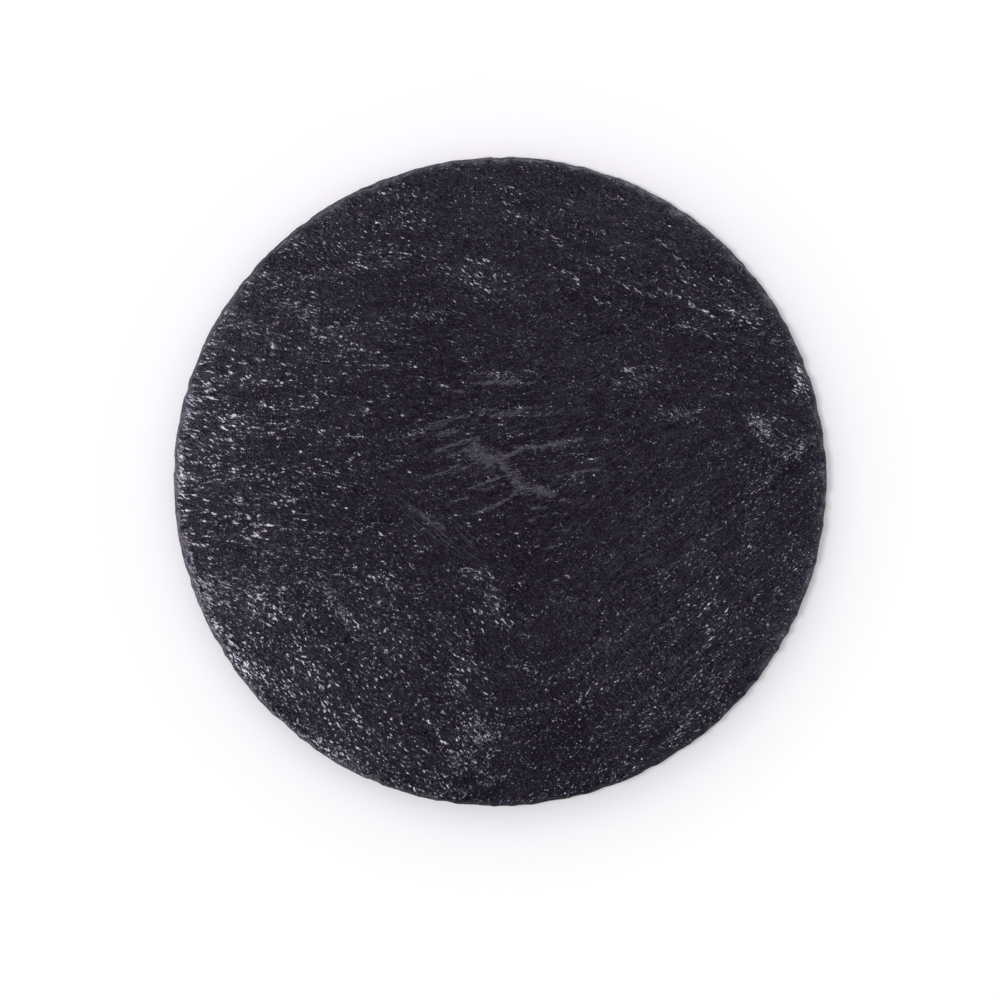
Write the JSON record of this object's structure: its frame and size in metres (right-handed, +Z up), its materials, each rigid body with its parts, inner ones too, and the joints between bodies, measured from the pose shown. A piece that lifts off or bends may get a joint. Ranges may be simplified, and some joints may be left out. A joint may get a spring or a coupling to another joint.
{
  "type": "slate placemat",
  "caption": "Round riven slate placemat with a hand-dressed, chipped edge, lying on self-adhesive foam feet that lift it clear of the table.",
  "frame": {"origin": "on the plane that the feet stand on, under the centre of the slate", "axes": "+Z up through the slate, +X to the right and +Y to the top of the overhead picture"},
  "size_m": [0.3009, 0.2992, 0.0077],
  "materials": {
    "slate": "satin",
    "foam": "matte",
    "adhesive": "satin"
  },
  "bodies": {
    "root": {"slate_disc": "slate", "foot_front_left": "foam", "foot_front_right": "foam", "foot_back_left": "foam", "foot_back_right": "foam", "adhesive_front_left": "adhesive", "adhesive_front_right": "adhesive", "adhesive_back_left": "adhesive", "adhesive_back_right": "adhesive"}
  },
  "joints": []
}
